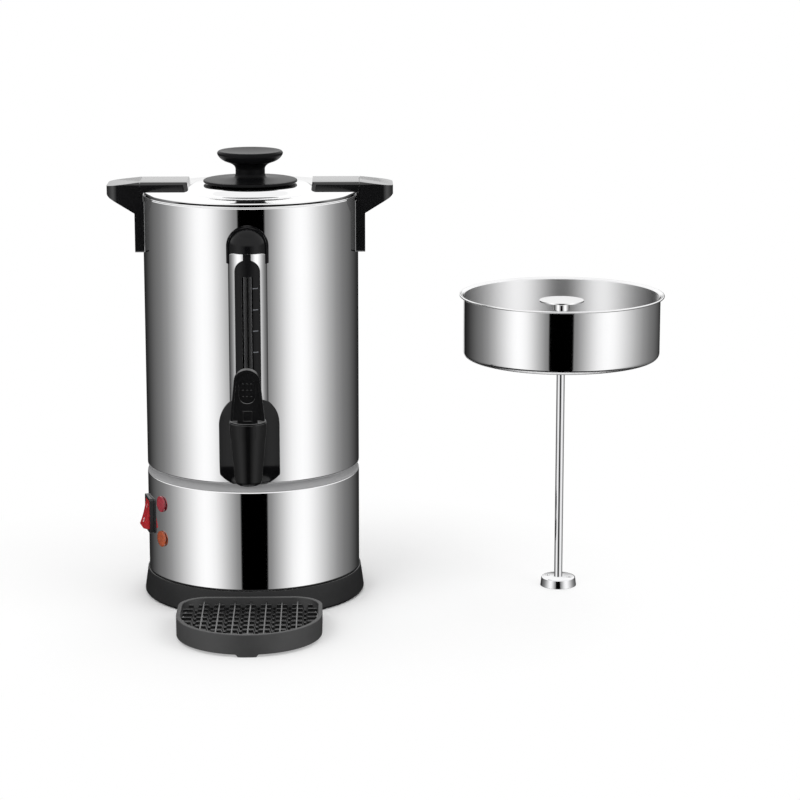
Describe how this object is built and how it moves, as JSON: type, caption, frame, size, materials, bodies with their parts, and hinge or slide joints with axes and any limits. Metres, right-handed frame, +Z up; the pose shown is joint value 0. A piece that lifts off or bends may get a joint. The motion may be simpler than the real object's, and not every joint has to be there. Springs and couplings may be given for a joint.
{
  "type": "coffee urn",
  "caption": "Percolator coffee urn with lift-off lid, lever tap, sight gauge, side handles and drip tray, its strainer basket standing beside it on a pump stem.",
  "frame": {"origin": "the urn's axis at the table, at the middle of the ring on which the base skirt stands", "axes": "+Z up; -Y towards the tap and the drip tray; +X from the urn towards the brewing set"},
  "size_m": [0.5715, 0.3627, 0.4614],
  "materials": {
    "brushed_steel": "brushed round the shell, satin",
    "lid_steel": "polished, faint circular brushing",
    "polished_steel": "polished",
    "plain_steel": "plain rolled sheet",
    "screw_steel": "plated fasteners",
    "spring_steel": "drawn wire",
    "basket_steel": "bright satin",
    "strainer_steel": "punched sheet, satin",
    "tube_steel": "drawn tube",
    "foot_steel": "turned, satin",
    "element_sheath": "heat-darkened sheath",
    "cast_aluminium": "pressed aluminium",
    "fuse_metal": "plated",
    "thermostat_body": "moulded, glossy",
    "block_plastic": "moulded",
    "inlet_black": "moulded",
    "black_base": "moulded, soft sheen",
    "black_grip": "moulded, fine grain",
    "black_gloss": "moulded, glossy",
    "black_panel": "smooth",
    "mark_white": "printed",
    "clear_tube": "clear",
    "rubber": "moulded",
    "valve_plastic": "moulded silicone and rod",
    "black_switch": "moulded",
    "rocker_red": "translucent moulded",
    "lens_red": "translucent lens",
    "lens_amber": "translucent lens",
    "tray_plastic": "moulded, fine grain"
  },
  "bodies": {
    "urn": {"vessel": "brushed_steel", "vessel_floor": "brushed_steel", "lower_shell": "brushed_steel", "base_skirt": "black_base", "bottom_cover": "plain_steel", "cover_screws": "screw_steel", "rubber_feet": "rubber", "heater_plate": "cast_aluminium", "heating_element": "element_sheath", "heater_bracket": "plain_steel", "bracket_nut": "screw_steel", "boil_thermostat": "thermostat_body", "warm_thermostat": "thermostat_body", "thermal_fuse": "fuse_metal", "terminal_block": "block_plastic", "power_inlet": "inlet_black", "handle_left": "black_grip", "handle_right": "black_grip", "handle_screws": "screw_steel", "gauge_channel": "polished_steel", "gauge_panel": "black_panel", "gauge_marks": "mark_white", "gauge_cap": "black_gloss", "gauge_cap_screw": "screw_steel", "sight_tube": "clear_tube", "tube_seals": "rubber", "tap_back_plate": "black_gloss", "tap_body": "black_gloss", "tap_collar": "black_gloss", "lever_pin": "screw_steel", "tap_spring": "spring_steel", "tap_gaskets": "rubber", "tap_nut": "screw_steel", "switch_bezel": "black_switch", "lamp_red": "lens_red", "lamp_amber": "lens_amber", "lamp_holders": "black_switch"},
    "lid": {"lid": "lid_steel", "lid_ear_left": "black_grip", "lid_ear_right": "black_grip", "ear_screws": "screw_steel", "knob": "black_gloss", "knob_flange": "black_gloss", "knob_screw": "screw_steel"},
    "lever": {"tap_lever": "black_gloss"},
    "plunger": {"valve_plunger": "valve_plastic"},
    "rocker": {"switch_rocker": "rocker_red"},
    "tray": {"drip_tray": "tray_plastic"},
    "grille": {"drip_grille": "tray_plastic"},
    "stem": {"pump_stem": "tube_steel", "stem_stop": "tube_steel", "stem_foot": "foot_steel"},
    "basket": {"basket": "basket_steel", "basket_strainer": "strainer_steel", "basket_guide": "basket_steel"},
    "spreader": {"spreader_disc": "basket_steel"},
    "flap": {"flap_valve": "fuse_metal"}
  },
  "joints": [
    {"name": "lid_lift", "type": "slide", "parent": "urn", "child": "lid", "axis": [0, 0, 1], "range_m": [0, 0.12]},
    {"name": "lever_pull", "type": "hinge", "parent": "urn", "child": "lever", "pos_m": [0, -0.156, 0.206], "axis": [1, 0, 0], "range_deg": [0, 25], "stiffness_Nm_per_rad": 0.3, "springref_deg": -17.19},
    {"name": "plunger_lift", "type": "slide", "parent": "urn", "child": "plunger", "axis": [0, 0, 1], "range_m": [0, 0.0056], "deforming": ["tap_spring"]},
    {"name": "rocker_tilt", "type": "hinge", "parent": "urn", "child": "rocker", "pos_m": [-0.10819, -0.02697, 0.087], "axis": [0.2419, -0.9703, 0], "range_deg": [0, 28]},
    {"name": "tray_slide", "type": "slide", "parent": "urn", "child": "tray", "axis": [0, -1, 0], "range_m": [0, 0.06]},
    {"name": "grille_lift", "type": "slide", "parent": "tray", "child": "grille", "axis": [0, 0, 1], "range_m": [0, 0.03]},
    {"name": "stem_lift", "type": "slide", "parent": "urn", "child": "stem", "axis": [0, 0, 1], "range_m": [0, 0.08]},
    {"name": "basket_lift", "type": "slide", "parent": "stem", "child": "basket", "axis": [0, 0, 1], "range_m": [0, 0.12]},
    {"name": "spreader_lift", "type": "slide", "parent": "basket", "child": "spreader", "axis": [0, 0, 1], "range_m": [0, 0.04]},
    {"name": "flap_lift", "type": "slide", "parent": "stem", "child": "flap", "axis": [0, 0, 1], "range_m": [0, 0.0015]}
  ],
  "couplings": [
    {"joint": "plunger_lift", "follows": "lever_pull", "m_per_rad": 0.0128}
  ]
}
